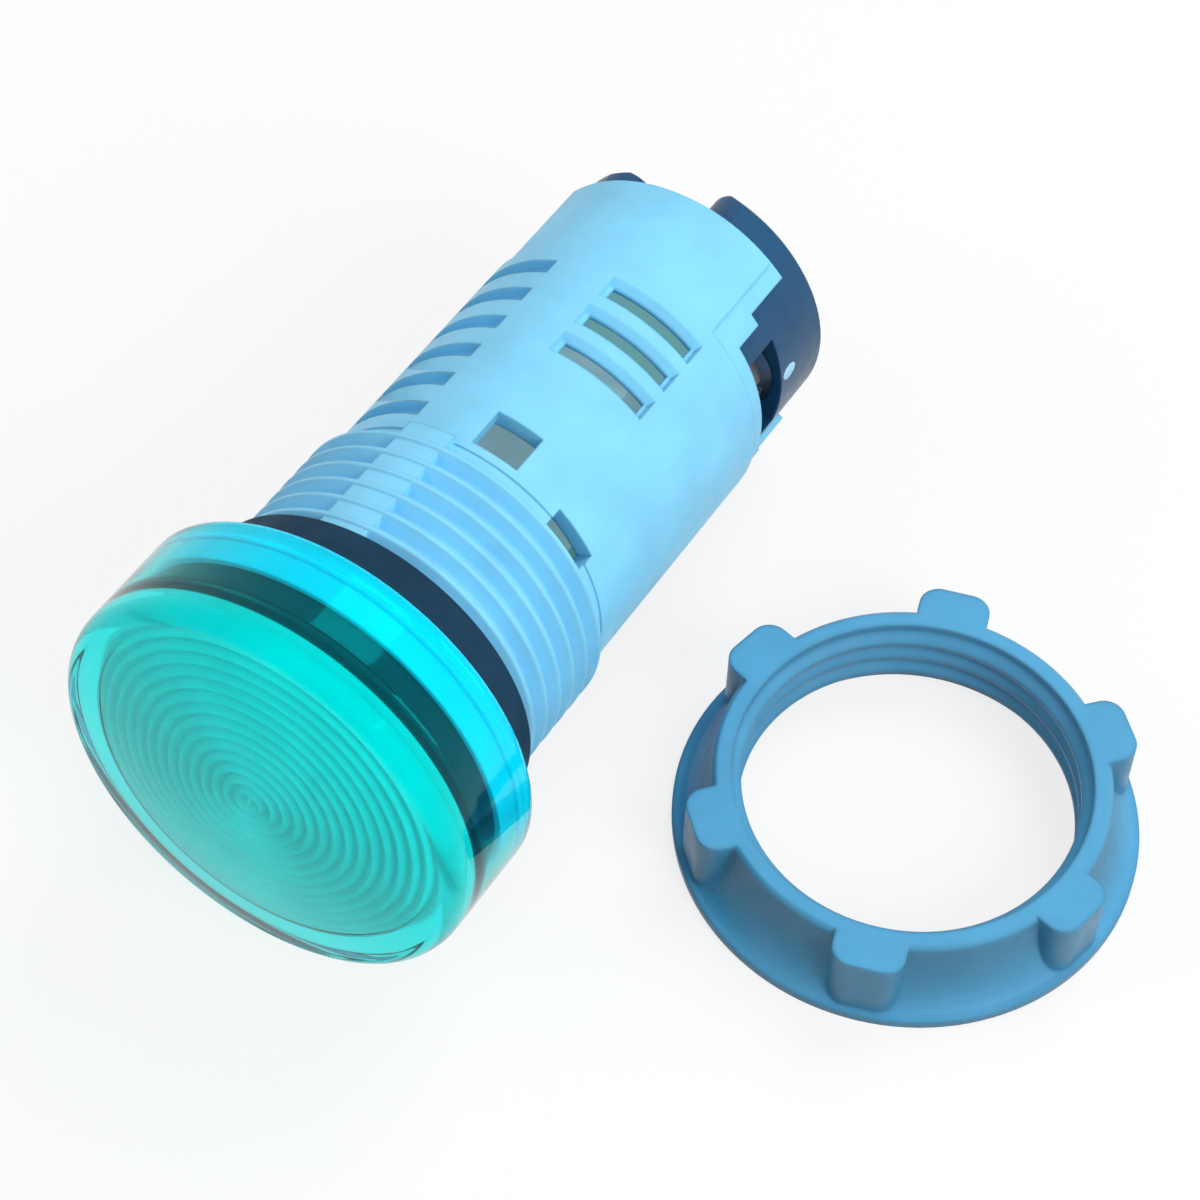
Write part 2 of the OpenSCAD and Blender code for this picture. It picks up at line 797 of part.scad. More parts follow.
lens_cap();
diffuser();
lamp_holder();
led_board();
leds();
board_pins();
gasket();
housing();
main_board();
film_capacitor();
smoothing_capacitor();
bridge_rectifier();
resistors();
zener_diode();
terminal_block();
contact_left();
contact_right();
clamp_left();
clamp_right();
screw_left();
screw_right();
lock_nut();
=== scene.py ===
"""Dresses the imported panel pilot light: lens, finishes, stage, lamps and camera."""

import json
import math

import bpy
import numpy as np
from bpy.props import FloatProperty, FloatVectorProperty, IntProperty, PointerProperty
from mathutils import Matrix, Vector


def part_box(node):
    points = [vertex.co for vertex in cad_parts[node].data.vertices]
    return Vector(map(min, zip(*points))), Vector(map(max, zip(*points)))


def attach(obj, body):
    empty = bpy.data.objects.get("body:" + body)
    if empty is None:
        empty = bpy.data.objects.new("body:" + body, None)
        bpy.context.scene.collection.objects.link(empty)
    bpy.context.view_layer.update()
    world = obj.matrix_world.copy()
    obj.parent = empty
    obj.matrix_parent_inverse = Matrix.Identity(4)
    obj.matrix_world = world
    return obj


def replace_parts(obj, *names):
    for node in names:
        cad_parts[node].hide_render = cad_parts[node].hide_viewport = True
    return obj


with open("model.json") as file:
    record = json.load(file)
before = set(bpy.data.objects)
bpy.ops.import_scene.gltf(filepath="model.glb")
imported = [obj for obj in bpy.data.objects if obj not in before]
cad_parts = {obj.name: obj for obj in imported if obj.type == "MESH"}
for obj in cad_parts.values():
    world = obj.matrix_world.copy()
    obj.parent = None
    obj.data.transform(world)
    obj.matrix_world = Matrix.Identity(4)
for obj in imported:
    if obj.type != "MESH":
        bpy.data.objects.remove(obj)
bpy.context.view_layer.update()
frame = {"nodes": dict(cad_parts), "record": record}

bl_info = {
    "name": "Panel pilot light",
    "version": (1, 0, 0),
    "blender": (4, 5, 0),
    "location": "View3D > Sidebar > Pilot light",
    "description": "Dresses a panel pilot light and its locking nut",
    "category": "Object",
}

MM = 0.001
MOUNTS = {m["name"]: m for m in frame["record"]["mounts"]}
LENS_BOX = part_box("lens_cap")
FORWARD = Vector((0, 0, 1))  # the light's axis, towards its lens, in the light's own frame

# Turned pieces: points round the axis, and radius of the first ring of points round a pole. One more ring,
# at a tenth of that radius, keeps the shading even there.
ROUND = 256
POLE = 0.01 * MM

# Patterns of the finishes: features in a metre
CLOUDS, STREAKS, GRAIN = 260, 900, 5200  # moulded plastics
SMEARS, RIPPLES = 700, 240  # the lens
TARNISH, BRUSHING = 500, 3000  # metals

# Lens: refraction, how far edge on its painted shade starts and is darkest, roughness and gloss
ACRYLIC_IOR = 1.49
EDGE_SHADE_RANGE = (0.65, 0.95)
LENS_ROUGHNESS, LENS_GLOSS = 0.04, 0.02

# Diffuser: plastic, and width over which its dark border fades in
DIFFUSER_COLOUR = (0.72, 0.75, 0.75)
BORDER_BLUR = 0.05 * MM

# Nut: painted shade, the brightness of the upright walls against the flat tops
WALL_SHADE = 0.62

# Studio: the floor's colour where it is seen and as a source of light, how much of the seen floor is plain
# white, and strengths of the surroundings as light and where they are seen
FLOOR_SEEN, FLOOR_AS_LIGHT = (0.86, 0.86, 0.86), (0.25, 0.25, 0.25)
FLOOR_WHITE = 0.78
SKY_AS_LIGHT, SKY_SEEN = 0.35, 1.0


# ---------------------------------------------------------------- sizes and colours


class LensSizes(bpy.types.PropertyGroup):
    """Sizes of the lens and the diffuser behind it, in the light's own frame"""

    diameter: FloatProperty(
        name="Diameter",
        description="Outer diameter of the lens skirt",
        default=LENS_BOX[1].x - LENS_BOX[0].x,
        unit="LENGTH",
    )
    side_height: FloatProperty(
        name="Side height",
        description="Height of the straight side in front of the seat",
        default=6.8 * MM,
        unit="LENGTH",
    )
    face_diameter: FloatProperty(
        name="Face diameter",
        description="Diameter of the domed face",
        default=25.6 * MM,
        unit="LENGTH",
    )
    edge_height: FloatProperty(
        name="Edge height",
        description="Height of the rounded edge between side and face",
        default=1.6 * MM,
        unit="LENGTH",
    )
    dome_rise: FloatProperty(
        name="Dome rise",
        description="Rise of the dome in the middle of the face",
        default=1.6 * MM,
        unit="LENGTH",
    )
    wall: FloatProperty(
        name="Wall",
        description="Wall thickness of the skirt",
        default=0.8 * MM,
        unit="LENGTH",
    )
    face_wall: FloatProperty(
        name="Face wall",
        description="Thickness of the domed face",
        default=2.0 * MM,
        unit="LENGTH",
    )
    corner_width: FloatProperty(
        name="Corner width",
        description="Width of the elliptical corner between the inside of the face and of the skirt",
        default=2.8 * MM,
        unit="LENGTH",
    )
    corner_height: FloatProperty(
        name="Corner height",
        description="Height of that elliptical corner",
        default=1.4 * MM,
        unit="LENGTH",
    )
    lift: FloatProperty(
        name="Lift",
        description="Gap between the skirt and the seat plane",
        default=0.2 * MM,
        unit="LENGTH",
    )
    ring_pitch: FloatProperty(
        name="Ring pitch",
        description="Spacing of the rings on the diffuser",
        default=0.8 * MM,
        unit="LENGTH",
    )
    ring_depth: FloatProperty(
        name="Ring depth",
        description="Depth of the rings on the diffuser",
        default=0.4 * MM,
        unit="LENGTH",
    )
    ring_count: IntProperty(
        name="Rings",
        description="Number of rings on the diffuser",
        default=15,
    )
    border_gap: FloatProperty(
        name="Border gap",
        description="Distance from the last ring to the diffuser's dark border",
        default=0.5 * MM,
        unit="LENGTH",
    )
    diffuser_wall: FloatProperty(
        name="Diffuser wall",
        description="Thickness of the diffuser under its rings",
        default=0.8 * MM,
        unit="LENGTH",
    )
    inner_end: FloatProperty(
        name="End of the inside",
        description="Distance behind the seat of the plane ahead of which the block's front glows",
        default=31.2 * MM,
        unit="LENGTH",
    )
    gasket_length: FloatProperty(
        name="Gasket length",
        description="Length of the gasket, from the seat plane back to the panel",
        default=3.4 * MM,
        unit="LENGTH",
    )


class PilotColours(bpy.types.PropertyGroup):
    """Colours of the moulded and painted pieces"""

    lens: FloatVectorProperty(
        name="Lens",
        description="Tint of the clear lens",
        default=(0.0, 0.78, 0.77),
        size=3,
        subtype="COLOR",
    )
    # Painted shade: dark colour of the lens where it is seen edge on
    lens_edge_shade: FloatVectorProperty(
        name="Lens rim",
        description="Dark teal of the lens where it is seen edge on",
        default=(0.0, 0.015, 0.04),
        size=3,
        subtype="COLOR",
    )
    housing: FloatVectorProperty(
        name="Housing",
        description="Pale plastic of the barrel and the collar",
        default=(0.21, 0.62, 0.89),
        size=3,
        subtype="COLOR",
    )
    nut: FloatVectorProperty(
        name="Nut",
        description="Plastic of the locking nut",
        default=(0.075, 0.34, 0.58),
        size=3,
        subtype="COLOR",
    )
    block: FloatVectorProperty(
        name="Terminal block",
        description="Dark plastic of the terminal block",
        default=(0.007, 0.065, 0.155),
        size=3,
        subtype="COLOR",
    )
    rubber: FloatVectorProperty(
        name="Gasket",
        description="Rubber of the gasket",
        default=(0.006, 0.034, 0.070),
        size=3,
        subtype="COLOR",
    )
    holder: FloatVectorProperty(
        name="Lamp holder",
        description="Dark plastic of the lamp holder and the diffuser's border",
        default=(0.001, 0.020, 0.045),
        size=3,
        subtype="COLOR",
    )
    # Painted light: colour of the glow on the block's front, for the light through the housing walls
    inside: FloatVectorProperty(
        name="Inside",
        description="Grey teal glow of the block's front, which shows through the long slots",
        default=(0.12, 0.30, 0.29),
        size=3,
        subtype="COLOR",
    )
    mark: FloatVectorProperty(
        name="Mark",
        description="Pale dot on the terminal block",
        default=(0.38, 0.66, 0.90),
        size=3,
        subtype="COLOR",
    )


class DotSizes(bpy.types.PropertyGroup):
    """Size and place of the pale dot on the terminal block"""

    block_diameter: FloatProperty(
        name="Block diameter",
        description="Diameter of the terminal block that the dot lies on",
        default=19.0 * MM,
        unit="LENGTH",
    )
    behind: FloatProperty(
        name="Behind the seat",
        description="Distance of the dot behind the seat plane",
        default=37.95 * MM,
        unit="LENGTH",
    )
    turn: FloatProperty(
        name="Turn",
        description="Angle of the dot from the top, towards the nut",
        default=math.radians(81),
        subtype="ANGLE",
    )
    length: FloatProperty(
        name="Length",
        description="Size of the dot along the axis",
        default=1.5 * MM,
        unit="LENGTH",
    )
    width: FloatProperty(
        name="Width",
        description="Size of the dot around the block",
        default=1.0 * MM,
        unit="LENGTH",
    )


class CameraSizes(bpy.types.PropertyGroup):
    """Place, aim and lens of the camera"""

    place: FloatVectorProperty(
        name="Place",
        description="Where the camera stands",
        default=(0.05658, -0.112684, 0.19265),
        size=3,
        subtype="XYZ_LENGTH",
        unit="LENGTH",
    )
    aim: FloatVectorProperty(
        name="Aim",
        description="Point on the floor that the camera looks at",
        default=(-0.0106, 0.006866, 0.0),
        size=3,
        subtype="XYZ_LENGTH",
        unit="LENGTH",
    )
    roll: FloatProperty(
        name="Roll",
        description="Turn of the camera about its line of sight",
        default=math.radians(2.73),
        subtype="ANGLE",
    )
    lens: FloatProperty(
        name="Focal length",
        description="Focal length on a 36 mm sensor, in millimetres",
        default=109.0,
    )


# ---------------------------------------------------------------- meshes


def light_matrix(sizes):
    """Frame of the lying light: +Z forward along its axis, origin on the axis in the seat plane."""
    seat, thread = MOUNTS["panel_seat"], MOUNTS["panel_thread"]
    rear = Vector(seat["axis"]).normalized()
    on_axis = Vector(thread["pos_m"])
    gasket_end = on_axis + rear * (Vector(seat["pos_m"]) - on_axis).dot(rear)
    forward = -rear
    right = Vector((1, 0, 0))
    up = forward.cross(right)
    turn = Matrix((right, up, forward)).transposed().to_4x4()
    return Matrix.Translation(gasket_end - rear * sizes.gasket_length) @ turn


def placed(points, matrix):
    """Every point turned and moved by the 4 x 4 matrix."""
    m = np.array(matrix)
    return points @ m[:3, :3].T + m[:3, 3]


def grid_faces(rows, columns):
    """Quads between neighbouring points of a grid that is joined end to end both ways."""
    i, j = (a.ravel() for a in np.meshgrid(np.arange(rows), np.arange(columns), indexing="ij"))
    k, m = (i + 1) % rows, (j + 1) % columns
    return np.stack([i * columns + j, i * columns + m, k * columns + m, k * columns + j], 1)


def add_mesh(name, points, faces, body):
    """A smooth mesh object from whole arrays of points and quads, riding on a body."""
    mesh = bpy.data.meshes.new(name)
    mesh.vertices.add(len(points))
    mesh.vertices.foreach_set("co", np.ascontiguousarray(points, np.float32).ravel())
    mesh.loops.add(faces.size)
    mesh.loops.foreach_set("vertex_index", np.ascontiguousarray(faces, np.int32).ravel())
    mesh.polygons.add(len(faces))
    mesh.polygons.foreach_set("loop_start", np.arange(0, faces.size, faces.shape[1], dtype=np.int32))
    mesh.polygons.foreach_set("use_smooth", np.full(len(faces), True))
    mesh.update(calc_edges=True)
    mesh.validate()
    obj = bpy.data.objects.new(name, mesh)
    bpy.context.scene.collection.objects.link(obj)
    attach(obj, body)
    return obj


def dome_height(s, x):
    """Height of the lens's outer dome at radius x: a circle's arc through the face edge and the tip."""
    face_r = s.face_diameter / 2
    dome_r = (face_r**2 + s.dome_rise**2) / (2 * s.dome_rise)
    return s.side_height + s.edge_height + s.dome_rise - dome_r + np.sqrt(dome_r**2 - x**2)


def inside_height(s, x):
    """Height of the lens's inside at radius x: its dome moved in by the face wall, and bent down to the
    skirt by a quarter of an ellipse."""
    across = np.maximum(0, x - s.diameter / 2 + s.wall + s.corner_width) / s.corner_width
    drop = s.corner_height * (1 - np.sqrt(np.maximum(0, 1 - across**2)))
    return dome_height(s, x) - s.face_wall - drop


def revolved(profile, matrix):
    """Points and quads of a closed profile of (radius, height) pairs turned once about the axis."""
    a = np.linspace(0, 2 * np.pi, ROUND, endpoint=False)
    r, z = profile[:, 0], profile[:, 1]
    points = np.stack([np.outer(r, np.cos(a)), np.outer(r, np.sin(a)), np.outer(z, np.ones(ROUND))], -1)
    return placed(points.reshape(-1, 3), matrix), grid_faces(len(profile), ROUND)


# ---------------------------------------------------------------- materials


def finish_nodes(mat, *names):
    """Puts one finish on CAD nodes or pieces, as their only material."""
    for name in names:
        obj = frame["nodes"].get(name) or bpy.data.objects[name]
        obj.data.materials.clear()
        obj.data.materials.append(mat)


def opened(mat):
    """A finish's tree, its Principled shader and its Object coordinates."""
    tree = mat.node_tree
    return tree, tree.nodes["Principled BSDF"], tree.nodes["Texture Coordinate"].outputs["Object"]


def new_finish(name, colour, roughness):
    """A plain finish, with its tree, its Principled shader and its Object coordinates."""
    mat = bpy.data.materials.new(name)
    mat.use_nodes = True
    mat.node_tree.nodes.new("ShaderNodeTexCoord")
    tree, shader, coords = opened(mat)
    shader.inputs["Base Color"].default_value = (*colour, 1)
    shader.inputs["Roughness"].default_value = roughness
    return mat, tree, shader, coords


def colour_so_far(shader):
    """The output that gives a shader its colour so far."""
    return shader.inputs["Base Color"].links[0].from_socket


def feed(tree, socket, value):
    """Gives an input another node's output, or a fixed number or vector."""
    if isinstance(value, bpy.types.NodeSocket):
        tree.links.new(value, socket)
    else:
        socket.default_value = value


def number_step(tree, operation, first, second, clamp=False):
    """One step of arithmetic on an output and a number or another output."""
    node = tree.nodes.new("ShaderNodeMath")
    node.operation = operation
    node.use_clamp = clamp
    feed(tree, node.inputs[0], first)
    feed(tree, node.inputs[1], second)
    return node.outputs["Value"]


def vector_step(tree, operation, vector, other=(0, 0, 0), result="Vector"):
    """One step of vector arithmetic on an output and a fixed vector."""
    node = tree.nodes.new("ShaderNodeVectorMath")
    node.operation = operation
    feed(tree, node.inputs[0], vector)
    feed(tree, node.inputs[1], other)
    return node.outputs[result]


def noise(tree, coords, scale, detail=2.0, roughness=0.5):
    """Value of a noise pattern with that many features a metre."""
    node = tree.nodes.new("ShaderNodeTexNoise")
    node.inputs["Scale"].default_value = scale
    node.inputs["Detail"].default_value = detail
    node.inputs["Roughness"].default_value = roughness
    tree.links.new(coords, node.inputs["Vector"])
    return node.outputs["Fac"]


def spread(tree, value, low, high, from_low=0.3, from_high=0.7):
    """The value carried from one range to another, held at its ends. The first range is the one that a noise
    mostly fills, unless it is given."""
    node = tree.nodes.new("ShaderNodeMapRange")
    node.inputs["From Min"].default_value = from_low
    node.inputs["From Max"].default_value = from_high
    node.inputs["To Min"].default_value = low
    node.inputs["To Max"].default_value = high
    tree.links.new(value, node.inputs["Value"])
    return node.outputs["Result"]


def blend_colours(tree, share, first, second):
    """Colour between a first, fixed or from an output, and a fixed second, by a share from 0 to 1."""
    node = tree.nodes.new("ShaderNodeMix")
    node.data_type = "RGBA"
    tree.links.new(share, node.inputs["Factor"])
    feed(tree, node.inputs["A"], first if isinstance(first, bpy.types.NodeSocket) else (*first, 1))
    node.inputs["B"].default_value = (*second, 1)
    return node.outputs["Result"]


def blend_shaders(tree, share, first, second):
    """Puts a blend of two shaders, by a share from 0 to 1, on the surface of a material or the world."""
    node = tree.nodes.new("ShaderNodeMixShader")
    tree.links.new(share, node.inputs["Fac"])
    tree.links.new(first.outputs[0], node.inputs[1])
    tree.links.new(second.outputs[0], node.inputs[2])
    output = tree.get_output_node("ALL") or tree.nodes.new("ShaderNodeOutputWorld")
    tree.links.new(node.outputs["Shader"], output.inputs["Surface"])


def shade(colour, factor):
    """The colour made darker or lighter by a factor."""
    return tuple(min(1.0, c * factor) for c in colour)


def bump(tree, shader, height, distance, strength, edge=0.0):
    """Relief on the shader's normal, up to a distance in metres, over edges rounded to a radius."""
    node = tree.nodes.new("ShaderNodeBump")
    node.inputs["Distance"].default_value = distance
    node.inputs["Strength"].default_value = strength
    tree.links.new(height, node.inputs["Height"])
    if edge:
        soft = tree.nodes.new("ShaderNodeBevel")
        soft.samples = 6
        soft.inputs["Radius"].default_value = edge
        tree.links.new(soft.outputs["Normal"], node.inputs["Normal"])
    tree.links.new(node.outputs["Normal"], shader.inputs["Normal"])


def moulded_plastic(name, colour, roughness, edge=0.2 * MM, patch=0.06, gloss=0.5, painted_glow=0.0):
    """Moulded plastic: fine grain, faint clouds of colour and of gloss, soft edges. A glow on an inner piece
    is painted light, standing for the light that comes through the pale housing walls."""
    mat, tree, shader, coords = new_finish(name, colour, roughness)
    shader.inputs["Emission Color"].default_value = (*colour, 1)
    shader.inputs["Emission Strength"].default_value = painted_glow
    shader.inputs["Specular IOR Level"].default_value = gloss
    clouds = spread(tree, noise(tree, coords, CLOUDS, 3), 0, 1)
    tint = blend_colours(tree, clouds, shade(colour, 1 - patch), shade(colour, 1 + patch))
    tree.links.new(tint, shader.inputs["Base Color"])
    streaks = noise(tree, coords, STREAKS, 4, 0.6)
    tree.links.new(spread(tree, streaks, roughness - 0.06, roughness + 0.08), shader.inputs["Roughness"])
    bump(tree, shader, noise(tree, coords, GRAIN, 2), 0.01 * MM, 0.6, edge)
    return mat


def paint_wall_shade(mat, factor):
    """Painted shade: darkens upright surfaces by a factor, and sloping ones by how upright they are, so that
    the flat tops stay paler than the walls. The normal is smoothed, so that facets don't show."""
    tree, shader, _ = opened(mat)
    smooth = tree.nodes.new("ShaderNodeBevel")
    smooth.inputs["Radius"].default_value = 0.8 * MM
    parts = tree.nodes.new("ShaderNodeSeparateXYZ")
    tree.links.new(smooth.outputs["Normal"], parts.inputs[0])
    share = spread(tree, parts.outputs["Z"], factor, 1.0, 0.2, 0.95)
    painted_shade = tree.nodes.new("ShaderNodeVectorMath")
    painted_shade.operation = "SCALE"
    tree.links.new(colour_so_far(shader), painted_shade.inputs[0])
    tree.links.new(share, painted_shade.inputs["Scale"])
    tree.links.new(painted_shade.outputs["Vector"], shader.inputs["Base Color"])


def clear_tinted(name, colour, edge_shade, roughness, gloss):
    """Clear tinted plastic, with painted shade where it is seen edge on: its colour turns to a dark one
    there. It lets the lamps through in the square root of its colour."""
    mat, tree, shader, coords = new_finish(name, colour, roughness)
    shader.inputs["Transmission Weight"].default_value = 1.0
    shader.inputs["IOR"].default_value = ACRYLIC_IOR
    facing = tree.nodes.new("ShaderNodeLayerWeight").outputs["Facing"]
    # Painted shade: the tint darkens towards the edge colour where the lens is seen edge on
    tint = blend_colours(tree, spread(tree, facing, 0, 1, *EDGE_SHADE_RANGE), colour, edge_shade)
    tree.links.new(tint, shader.inputs["Base Color"])
    shader.inputs["Specular Tint"].default_value = (*colour, 1)
    shader.inputs["Specular IOR Level"].default_value = gloss
    smears = noise(tree, coords, SMEARS, 3)
    tree.links.new(spread(tree, smears, roughness * 0.6, roughness * 1.6), shader.inputs["Roughness"])
    bump(tree, shader, noise(tree, coords, RIPPLES, 2), 0.03 * MM, 0.35)
    through = tree.nodes.new("ShaderNodeBsdfTransparent")
    through.inputs["Color"].default_value = (*(c**0.5 for c in colour), 1)
    path = tree.nodes.new("ShaderNodeLightPath")
    blend_shaders(tree, path.outputs["Is Shadow Ray"], shader, through)
    return mat


def metal(name, colour, roughness):
    """Plated or rolled metal with fine variation in its gloss and faint clouds in its colour."""
    mat, tree, shader, coords = new_finish(name, colour, roughness)
    shader.inputs["Metallic"].default_value = 1.0
    grain = noise(tree, coords, BRUSHING, 3)
    tree.links.new(spread(tree, grain, roughness - 0.08, roughness + 0.12), shader.inputs["Roughness"])
    clouds = spread(tree, noise(tree, coords, TARNISH), 0, 1)
    tree.links.new(blend_colours(tree, clouds, shade(colour, 0.88), colour), shader.inputs["Base Color"])
    bump(tree, shader, grain, 0.006 * MM, 0.5, 0.1 * MM)
    return mat


def off_axis(tree, coords, matrix):
    """Distance of each point from the axis of a frame: the length of the cross product of the axis and the
    way from the frame's origin."""
    way = vector_step(tree, "SUBTRACT", coords, matrix.translation)
    across = vector_step(tree, "CROSS_PRODUCT", way, matrix.to_3x3() @ FORWARD)
    return vector_step(tree, "LENGTH", across, result="Value")


def background_rays(tree):
    """1 for rays from the camera, off a gloss or through glass, which all see the white background, and
    0 for the others."""
    path = tree.nodes.new("ShaderNodeLightPath")
    total = path.outputs["Is Camera Ray"]
    for name in ("Is Glossy Ray", "Is Transmission Ray"):
        total = number_step(tree, "ADD", total, path.outputs[name], clamp=True)
    return total


# ---------------------------------------------------------------- operators


class PILOT_OT_lens(bpy.types.Operator):
    """Clear domed lens, smooth outside and inside"""

    bl_idname = "pilot.lens"
    bl_label = "Lens"

    def profile(self, s):
        """Closed outline in (radius, height): the skirt's foot with its two blunt corners, its straight
        side, a quarter of an ellipse, the dome, and back along the smooth inside and the skirt's wall."""
        lens_r, face_r = s.diameter / 2, s.face_diameter / 2
        skirt_r = lens_r - s.wall
        inner_cut, outer_cut, step, side_end = 0.1 * MM, 0.12 * MM, 0.4 * MM, 0.97 * s.side_height
        foot_r = [skirt_r, skirt_r + inner_cut, lens_r - outer_cut, lens_r]
        foot_z = [s.lift + inner_cut, s.lift, s.lift, s.lift + outer_cut]
        side_z = np.linspace(s.lift + step, side_end, 4)
        t = np.linspace(0, np.pi / 2, 16)
        edge_r, edge_z = face_r + (lens_r - face_r) * np.cos(t), s.side_height + s.edge_height * np.sin(t)
        dome_r = np.append(np.linspace(face_r, POLE, 60)[1:], POLE / 10)
        inner_r = np.append(POLE / 10, np.linspace(POLE, skirt_r - s.corner_width, 50))
        corner = s.corner_width * np.sin(np.linspace(0, np.pi / 2, 30)[1:])
        inner_r = np.append(inner_r, inner_r[-1] + corner)
        inner_z = inside_height(s, inner_r)
        wall_z = np.linspace(inner_z[-1] - step, s.lift + step, 3)
        radii = [foot_r, np.full(4, lens_r), edge_r, dome_r, inner_r, np.full(3, skirt_r)]
        heights = [foot_z, side_z, edge_z, dome_height(s, dome_r), inner_z, wall_z]
        return np.stack([np.concatenate(radii), np.concatenate(heights)], 1)

    def execute(self, context):
        c, s = context.scene.pilot_colours, context.scene.pilot_lens
        points, faces = revolved(self.profile(s), light_matrix(s))
        lens = add_mesh("clear_lens", points, faces, "light")
        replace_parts(lens, "lens_cap")
        plastic = clear_tinted("clear teal lens", c.lens, c.lens_edge_shade, LENS_ROUGHNESS, LENS_GLOSS)
        finish_nodes(plastic, "clear_lens")
        return {"FINISHED"}


class PILOT_OT_lamp(bpy.types.Operator):
    """Ringed diffuser, and finishes of the lamp holder and the lamp board with its chips and pins"""

    bl_idname = "pilot.lamp"
    bl_label = "Lamp"

    def profile(self, s):
        """Closed outline in (radius, height): the lens's inside, lowered by a gap and by a cosine wave of
        the ring pitch that ends at the last ring, then a flat foot, and a plain dome underneath."""
        gap, rim_width, rim_height, foot_width = 0.08 * MM, 0.6 * MM, 0.2 * MM, 1 * MM
        rim_r = s.diameter / 2 - s.wall - gap
        top_r = np.append(POLE / 10, np.linspace(POLE, rim_r - rim_width, 260))
        top_r = np.append(top_r, rim_r - rim_width * np.linspace(1, 0, 12)[1:] ** 2)
        wave = 0.5 - 0.5 * np.cos(2 * np.pi * top_r / s.ring_pitch)
        wave = np.where(top_r < s.ring_count * s.ring_pitch, wave, 0)
        top_z = inside_height(s, top_r) - gap - s.ring_depth * wave
        foot_z = inside_height(s, rim_r) - rim_height
        under_r = np.append(np.linspace(rim_r - 1.1 * foot_width, POLE, 24), POLE / 10)
        under_z = dome_height(s, under_r) - s.face_wall - gap - s.ring_depth - s.diffuser_wall
        radii = [top_r, [rim_r, rim_r - foot_width], under_r]
        heights = [top_z, [foot_z, foot_z], under_z]
        return np.stack([np.concatenate(radii), np.concatenate(heights)], 1)

    def bordered(self, c, s):
        """White diffuser plastic with a border in the lamp holder's dark colour, outside the last ring."""
        mat = moulded_plastic("diffuser plastic", DIFFUSER_COLOUR, 0.5, edge=0)
        tree, shader, coords = opened(mat)
        start = s.ring_count * s.ring_pitch + s.border_gap
        dark = spread(tree, off_axis(tree, coords, light_matrix(s)), 0, 1, start, start + BORDER_BLUR)
        tint = blend_colours(tree, dark, colour_so_far(shader), c.holder)
        tree.links.new(tint, shader.inputs["Base Color"])
        return mat

    def execute(self, context):
        c, s = context.scene.pilot_colours, context.scene.pilot_lens
        points, faces = revolved(self.profile(s), light_matrix(s))
        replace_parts(add_mesh("ringed_diffuser", points, faces, "light"), "diffuser")
        finish_nodes(self.bordered(c, s), "ringed_diffuser")
        finish_nodes(moulded_plastic("lamp holder plastic", c.holder, 0.4, gloss=0.2), "lamp_holder")
        finish_nodes(moulded_plastic("lamp board lacquer", (0.80, 0.84, 0.80), 0.4), "led_board")
        finish_nodes(moulded_plastic("lamp chip resin", (0.86, 0.76, 0.20), 0.25), "leds")
        finish_nodes(metal("gilt pins", (0.80, 0.58, 0.22), 0.3), "board_pins")
        return {"FINISHED"}


class PILOT_OT_housing(bpy.types.Operator):
    """Finish of the housing with its collar, thread, windows, slots and grooves"""

    bl_idname = "pilot.housing"
    bl_label = "Housing"

    def execute(self, context):
        c = context.scene.pilot_colours
        finish_nodes(moulded_plastic("pale housing plastic", c.housing, 0.42, edge=0.25 * MM), "housing")
        return {"FINISHED"}


class PILOT_OT_gasket(bpy.types.Operator):
    """Finish of the rubber gasket"""

    bl_idname = "pilot.gasket"
    bl_label = "Gasket"

    def execute(self, context):
        c = context.scene.pilot_colours
        finish_nodes(moulded_plastic("gasket rubber", c.rubber, 0.6, patch=0.15, gloss=0.2), "gasket")
        return {"FINISHED"}


class PILOT_OT_electronics(bpy.types.Operator):
    """Finishes of the circuit board and its components"""

    bl_idname = "pilot.electronics"
    bl_label = "Electronics"

    def execute(self, context):
        # Last column: painted light, a faint glow on the board, film capacitor and can sleeve for the light
        # through the pale housing walls
        for node, name, colour, roughness, painted_glow in (
            ("main_board", "board lacquer", (0.10, 0.28, 0.24), 0.35, 0.5),
            ("film_capacitor", "film capacitor box", (0.28, 0.44, 0.46), 0.4, 0.5),
            ("smoothing_capacitor", "can sleeve", (0.05, 0.12, 0.16), 0.3, 0.5),
            ("bridge_rectifier", "black epoxy", (0.012, 0.013, 0.016), 0.4, 0),
            ("resistors", "resistor lacquer", (0.42, 0.30, 0.14), 0.3, 0),
            ("zener_diode", "diode glass", (0.45, 0.12, 0.05), 0.12, 0),
        ):
            finish_nodes(moulded_plastic(name, colour, roughness, painted_glow=painted_glow), node)
        return {"FINISHED"}


